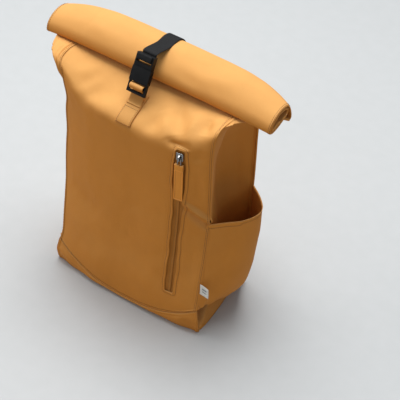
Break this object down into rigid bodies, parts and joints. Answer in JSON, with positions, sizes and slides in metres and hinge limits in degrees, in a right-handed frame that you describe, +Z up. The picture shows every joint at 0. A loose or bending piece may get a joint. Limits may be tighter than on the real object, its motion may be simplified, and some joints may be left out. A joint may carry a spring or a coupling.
{
  "type": "rolltop backpack",
  "caption": "Rolltop backpack in woven canvas, closed by a buckled strap over the roll, with a zipped front pocket, side pockets and padded shoulder straps.",
  "frame": {"origin": "on the floor, under the middle of the bag", "axes": "+X towards the side with the zip, the label and the open pocket; -Y out of the front face; +Z up, along the bag"},
  "size_m": [0.423, 0.2132, 0.451],
  "materials": {
    "canvas": "matt mustard woven canvas with tonal stitching",
    "zip_tape": "tonal woven zip tape with a covered coil",
    "zip_metal": "nickel plated slider and link",
    "black_plastic": "moulded black plastic, satin",
    "black_webbing": "black woven webbing",
    "label_cloth": "off-white woven label with two plain grey bars"
  },
  "bodies": {
    "bag": {"front_panel": "canvas", "side_panel_right": "canvas", "back_panel": "canvas", "side_panel_left": "canvas", "base_panel": "canvas", "pocket_right": "canvas", "pocket_left": "canvas", "front_tab": "canvas", "buckle_loop": "canvas", "shoulder_strap_right": "canvas", "shoulder_strap_left": "canvas", "zip_tape_left": "zip_tape", "zip_tape_right": "zip_tape", "zip_chain": "zip_tape", "zip_slider": "zip_metal", "buckle_socket": "black_plastic", "buckle_plug": "black_plastic", "strap_adjuster_right": "black_plastic", "strap_adjuster_left": "black_plastic", "roll_strap": "black_webbing", "strap_webbing_right": "black_webbing", "strap_webbing_left": "black_webbing", "strap_keeper_right": "black_webbing", "strap_keeper_left": "black_webbing", "haul_loop": "black_webbing", "side_label": "label_cloth"},
    "zip_pull": {"zip_pull_link": "zip_metal", "zip_pull_tab": "canvas"}
  },
  "joints": [
    {"name": "zip_pull_swing", "type": "hinge", "parent": "bag", "child": "zip_pull", "pos_m": [0.09343, -0.07064, 0.3424], "axis": [-0.9813, -0.1925, 0.0056], "range_deg": [0, 150]}
  ]
}
